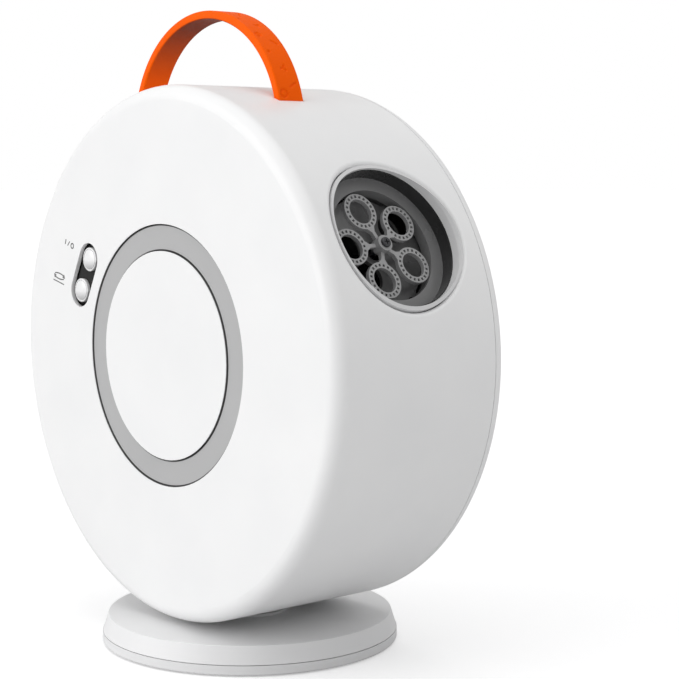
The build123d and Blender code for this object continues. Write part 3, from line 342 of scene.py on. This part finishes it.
FINISHES = {
    white: "rear_cover battery_door",
    front_white: "drum_shell",
    foot_white: "base_plate base_cover",
    white_gloss: "power_button rotation_button",
    ring_paint: "face_ring",
    bezel_grey: "outlet_bezel",
    panel_black: "button_panel",
    tank_dark: "solution_tank tank_cover",
    duct_dark: "air_duct",
    wheel_grey: "wand_wheel",
    inner_grey: "fan_housing fan_cover battery_box fan_impeller strap_clamps",
    acetal: "sun_gear wheel_gear wheel_pinion swivel_pinion shaft_bush pivot_post "
            "power_plunger rotation_plunger",
    steel: "base_screws retaining_washer retaining_screw rear_screws board_screws tank_screws "
           "fan_screws swivel_screws strap_screws door_screws wheel_shaft wheel_motor_shaft "
           "fan_shaft swivel_motor_shaft wheel_bracket swivel_bracket battery_contacts "
           "battery_springs fan_motor",
    dark_steel: "hub_screw",
    bush_grey: "swivel_bush thrust_washer",
    rubber: "base_feet",
    seal: "mouth_seal tank_gasket shaft_seal",
    board_green: "control_board",
    chip_black: "board_components tact_switches wheel_gearmotor swivel_gearmotor",
    cell_wrap: "battery_cells",
}
for material, names in FINISHES.items():
    for name in names.split():
        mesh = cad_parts[name].data
        mesh.materials.clear()
        mesh.materials.append(material)


# ---------------------------------------------------------------- meshes
def solid(name, rings, material, closed=False, smooth=True):
    """One closed skin through rings of points, capped at both ends unless the rings come round again."""
    mesh = bmesh.new()
    loops = [[mesh.verts.new([c * MM for c in point]) for point in ring] for ring in rings]
    pairs = list(zip(loops, loops[1:] + loops[:1])) if closed else list(zip(loops, loops[1:]))
    for first, second in pairs:
        for k in range(len(first)):
            j = (k + 1) % len(first)
            mesh.faces.new((first[k], first[j], second[j], second[k]))
    if not closed:
        mesh.faces.new(loops[0][::-1])
        mesh.faces.new(loops[-1])
    bmesh.ops.recalc_face_normals(mesh, faces=mesh.faces)
    for face in mesh.faces:
        face.smooth = smooth and len(face.verts) == 4
    data = bpy.data.meshes.new(name)
    mesh.to_mesh(data)
    mesh.free()
    data.materials.append(material)
    piece = bpy.data.objects.new(name, data)
    bpy.context.scene.collection.objects.link(piece)
    return piece


# ---------------------------------------------------------------- carry strap
# The strap and the signs are in millimetres.
STRAP_MID = (-11.7, 197.0)          # centre of the arch, x and z
STRAP_HALF = 47.6                   # outer half width of the arch
STRAP_RISE = 44.8
STRAP_THICK = 3.2
STRAP_EDGES = (-12.15, -0.65)       # the strap's two sides, in y
STRAP_FEET = (191.5, 177.0)         # ends of the right and the left leg, in z
STRAP_ROUND = 0.8                   # radius of the strap's edges
STRAP_STEP = 0.35                   # distance between points along the strap
OUTER_STEPS = 34                    # points across the outer face, close enough for its marks
INNER_STEPS = 12
CORNER = range(0, 91, 15)           # angles of the points round an edge


def strap_line():
    """Outer line of the strap, from the right foot over the arch to the left foot.

    Each row holds x, z, the outward normal and the angle round the arch.
    """
    mid_x, mid_z = STRAP_MID
    rows = []
    count = int((mid_z - STRAP_FEET[0]) / STRAP_STEP)
    for k in range(count):
        z = STRAP_FEET[0] + (mid_z - STRAP_FEET[0]) * k / count
        rows.append((mid_x + STRAP_HALF, z, (1, 0), (z - mid_z) / STRAP_RISE))
    count = int(pi * (STRAP_HALF + STRAP_RISE) / 2 / STRAP_STEP)
    for k in range(count + 1):
        t = pi * k / count
        normal = Vector((cos(t) / STRAP_HALF, sin(t) / STRAP_RISE)).normalized()
        rows.append((mid_x + STRAP_HALF * cos(t), mid_z + STRAP_RISE * sin(t), tuple(normal), t))
    count = int((mid_z - STRAP_FEET[1]) / STRAP_STEP)
    for k in range(1, count + 1):
        z = mid_z - (mid_z - STRAP_FEET[1]) * k / count
        rows.append((mid_x - STRAP_HALF, z, (-1, 0), pi + (mid_z - z) / STRAP_RISE))
    return rows


def strap_section():
    """Points round the strap's section: y, depth below the outer face."""
    r = STRAP_ROUND
    low, high = STRAP_EDGES[0] + r, STRAP_EDGES[1] - r
    inner = STRAP_THICK - r
    turns = [(r * cos(radians(a)), r * sin(radians(a))) for a in CORNER]
    points = [(low + (high - low) * k / OUTER_STEPS, 0.0) for k in range(OUTER_STEPS + 1)]
    points += [(high + s, r - c) for c, s in turns[1:]]
    points += [(high + c, inner + s) for c, s in turns]
    points += [(high - (high - low) * k / INNER_STEPS, STRAP_THICK) for k in range(1, INNER_STEPS)]
    points += [(low - s, inner + c) for c, s in turns]
    points += [(low - c, r - s) for c, s in turns[:-1]]
    return points


# Sunk marks on the strap's outer face: kind, place along the arch (mm), y, size, turn
STRAP_MARKS = [
    ("ring", 13.0, -9.2, 1.45, 0), ("slash", 16.5, -4.2, 1.5, 60), ("star", 23.5, -6.2, 1.3, 20),
    ("dot", 31.0, -9.6, 0.6, 0), ("slash", 36.0, -4.6, 1.3, -50), ("ring", 40.5, -9.4, 1.0, 0),
    ("star", 47.0, -5.4, 1.2, 50), ("dot", 53.0, -9.8, 0.6, 0), ("slash", 58.0, -6.0, 1.4, 30),
    ("ring", 65.0, -8.6, 1.1, 0), ("dot", 70.0, -4.2, 0.6, 0), ("star", 77.0, -8.0, 1.2, 0),
    ("slash", 84.0, -5.0, 1.4, -40), ("ring", 90.0, -8.8, 1.1, 0), ("dot", 96.5, -4.6, 0.6, 0),
    ("slash", 102.0, -8.4, 1.4, 55), ("star", 109.0, -5.4, 1.2, 30), ("ring", 116.0, -8.6, 1.0, 0),
    ("dot", 122.0, -4.4, 0.6, 0), ("slash", 128.0, -7.4, 1.4, -30), ("ring", 135.0, -5.6, 1.1, 0),
]
MARK_DEPTH = 0.45
MARK_LINE = 0.38                    # half width of a mark's line
MARK_SLOPE = 0.15                   # half width of the slope at its edge
MARK_REACH = 3                      # no mark reaches further than this from its middle


def near_bar(a, b, half, turn):
    """Distance from a point to a straight bar of the given half length, turned about the middle."""
    c, s = cos(radians(turn)), sin(radians(turn))
    along, across = a * c + b * s, b * c - a * s
    return Vector((max(abs(along) - half, 0), across)).length


def near_arm(a, b, length, turn):
    """Distance from a point to an arm that starts in the middle and reaches out one way."""
    half = length / 2
    return near_bar(a - half * cos(radians(turn)), b - half * sin(radians(turn)), half, turn)


def mark_depth(place, y):
    """Depth of the marks below the outer face, at a place along the strap."""
    for kind, mid_place, mid_y, size, turn in STRAP_MARKS:
        a, b = place - mid_place, y - mid_y
        if abs(a) > MARK_REACH or abs(b) > MARK_REACH:
            continue
        if kind == "ring":
            gap = abs(Vector((a, b)).length - size)
        elif kind == "dot":
            gap = max(Vector((a, b)).length - size + MARK_LINE, 0)
        elif kind == "slash":
            gap = near_bar(a, b, size, turn)
        else:
            gap = min(near_arm(a, b, size, turn + arm) for arm in (0, 120, 240))
        edge = (MARK_LINE + MARK_SLOPE - gap) / (2 * MARK_SLOPE)
        if edge > 0:
            return MARK_DEPTH * min(edge, 1)
    return 0.0


def carry_strap():
    """The strap in one skin, with its marks sunk into the outer face."""
    section = strap_section()
    rings = []
    mean = (STRAP_HALF + STRAP_RISE) / 2
    for x, z, normal, angle in strap_line():
        ring = []
        for y, depth in section:
            sunk = mark_depth(angle * mean, y) if depth == 0 else depth
            ring.append((x - normal[0] * sunk, y, z - normal[1] * sunk))
        rings.append(ring)
    strap = solid("strap", rings, strap_orange)
    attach(strap, "drum")
    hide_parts("carry_strap")


carry_strap()


# ---------------------------------------------------------------- printed signs
PRINT_PROUD = 0.05                  # the ink stands this far out of the face, and reaches as far into it
BOW_STEPS = 24


def printed(name, points, middle, turn, width, closed=False):
    """A thin line of ink on the face, its points turned and placed about a middle point.

    Points are in the face's plane: x, and height above the drum's axis. width is half the line's width.
    """
    c, s = cos(radians(turn)), sin(radians(turn))
    points = [(middle[0] + x * c - v * s, middle[1] + x * s + v * c) for x, v in points]
    rings = []
    count = len(points)
    front, back = FACE_Y / MM - PRINT_PROUD, FACE_Y / MM + PRINT_PROUD
    for k, (x, v) in enumerate(points):
        before = points[(k - 1) % count] if closed or k else points[0]
        after = points[(k + 1) % count] if closed or k < count - 1 else points[-1]
        along = Vector((after[0] - before[0], after[1] - before[1])).normalized()
        side = Vector((-along.y, along.x)) * width
        z = DRUM_Z / MM + v
        rings.append([(x - side.x, front, z - side.y), (x + side.x, front, z + side.y),
                      (x + side.x, back, z + side.y), (x - side.x, back, z - side.y)])
    sign = solid(name, rings, print_grey, closed=closed, smooth=False)
    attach(sign, "drum")


def bow(half, rise, start, end, middle=(0, 0)):
    """Points of an elliptical arc, angles in degrees."""
    angles = [radians(start + (end - start) * k / BOW_STEPS) for k in range(BOW_STEPS + 1)]
    return [(middle[0] + half * cos(t), middle[1] + rise * sin(t)) for t in angles]


# On and off: a bar, a slash and a circle beside the upper button
UPPER_SIGN = {"middle": (-64.6, 39.3), "turn": -18}
printed("sign_on", [(-2.9, 1.0), (-2.9, -1.0)], width=0.26, **UPPER_SIGN)
printed("sign_slash", [(-1.1, -1.0), (-0.1, 1.0)], width=0.2, **UPPER_SIGN)
printed("sign_off", bow(0.95, 0.95, 0, 345, middle=(2.2, 0)), width=0.24, closed=True, **UPPER_SIGN)
# Two arrows chasing each other round a flat oval, over a line, beside the lower button
LOWER_SIGN = {"middle": (-72.5, 26.2), "turn": -11}
printed("sign_turn_upper", bow(3.9, 1.1, 20, 150), width=0.22, **LOWER_SIGN)
printed("sign_turn_lower", bow(3.9, 1.1, 200, 330), width=0.22, **LOWER_SIGN)
printed("sign_head_right", [(3.2, 1.2), (3.9, -0.1), (2.4, 0.2)], width=0.26, **LOWER_SIGN)
printed("sign_head_left", [(-3.2, -1.2), (-3.9, 0.1), (-2.4, -0.2)], width=0.26, **LOWER_SIGN)
printed("sign_line", [(-4.2, -2.3), (3.9, -2.6)], width=0.2, **LOWER_SIGN)


# ---------------------------------------------------------------- camera and light
CAMERA_PLACE = Vector((0.5324, -0.40654, 0.18354))
CAMERA_LOOK = Vector((-0.75823, 0.64432, -0.09967))
camera = bpy.data.cameras.new("camera")
camera.lens = 92.36
camera.sensor_width = 36
camera_object = bpy.data.objects.new("camera", camera)
camera_object.location = CAMERA_PLACE
camera_object.rotation_euler = CAMERA_LOOK.to_track_quat("-Z", "Y").to_euler()
bpy.context.scene.collection.objects.link(camera_object)
bpy.context.scene.camera = camera_object
bpy.context.scene.view_settings.view_transform = "Standard"


def far_light(name, place, spread, strength):
    """A wide soft light from the direction of place, so far off that it lights everything evenly."""
    light = bpy.data.lights.new(name, "SUN")
    light.angle = radians(spread)
    light.energy = strength
    light_object = bpy.data.objects.new(name, light)
    light_object.location = place
    light_object.rotation_euler = (-Vector(place)).to_track_quat("-Z", "Y").to_euler()
    bpy.context.scene.collection.objects.link(light_object)


far_light("key", (-0.7, -1.6, 0.5), spread=60, strength=1.55)
far_light("top", (0.1, -0.1, 1.6), spread=60, strength=0.80)


def studio_world(seen, light):
    """Even white surroundings, seen at one strength and lighting the object at another."""
    world = bpy.data.worlds.new("studio")
    world.use_nodes = True
    tree = world.node_tree
    background = tree.nodes["Background"]
    background.inputs["Color"].default_value = (1, 1, 1, 1)
    path = tree.nodes.new("ShaderNodeLightPath")
    level = tree.nodes.new("ShaderNodeMapRange")
    level.inputs["To Min"].default_value = light
    level.inputs["To Max"].default_value = seen
    tree.links.new(path.outputs["Is Camera Ray"], level.inputs["Value"])
    tree.links.new(level.outputs["Result"], background.inputs["Strength"])
    bpy.context.scene.world = world


studio_world(seen=1.0, light=0.6)


def studio_floor(radius=12.0, steps=96):
    """A wide pale floor of matt paper, a little brighter to the eye than the light it throws back."""
    mesh = bmesh.new()
    rim = [mesh.verts.new((radius * cos(2 * pi * k / steps), radius * sin(2 * pi * k / steps), 0))
           for k in range(steps)]
    mesh.faces.new(rim)
    data = bpy.data.meshes.new("studio_floor")
    mesh.to_mesh(data)
    mesh.free()
    floor = bpy.data.objects.new("studio_floor", data)
    bpy.context.scene.collection.objects.link(floor)
    m = Nodes("studio_paper")
    tone = m.two_tone(m.spread(m.noise(0.4), 0, 1), grey(0.68), grey(0.67))
    m.link(tone, m.shader.inputs["Base Color"])
    seen = m.add("ShaderNodeLightPath").outputs["Is Camera Ray"]
    m.link(m.spread(seen, 0.0, 0.42, 0, 1), m.shader.inputs["Emission Strength"])
    m.set(Roughness=0.9, Specular_IOR_Level=0.1, Emission_Color=(1, 1, 1, 1))
    data.materials.append(m.mat)


studio_floor()
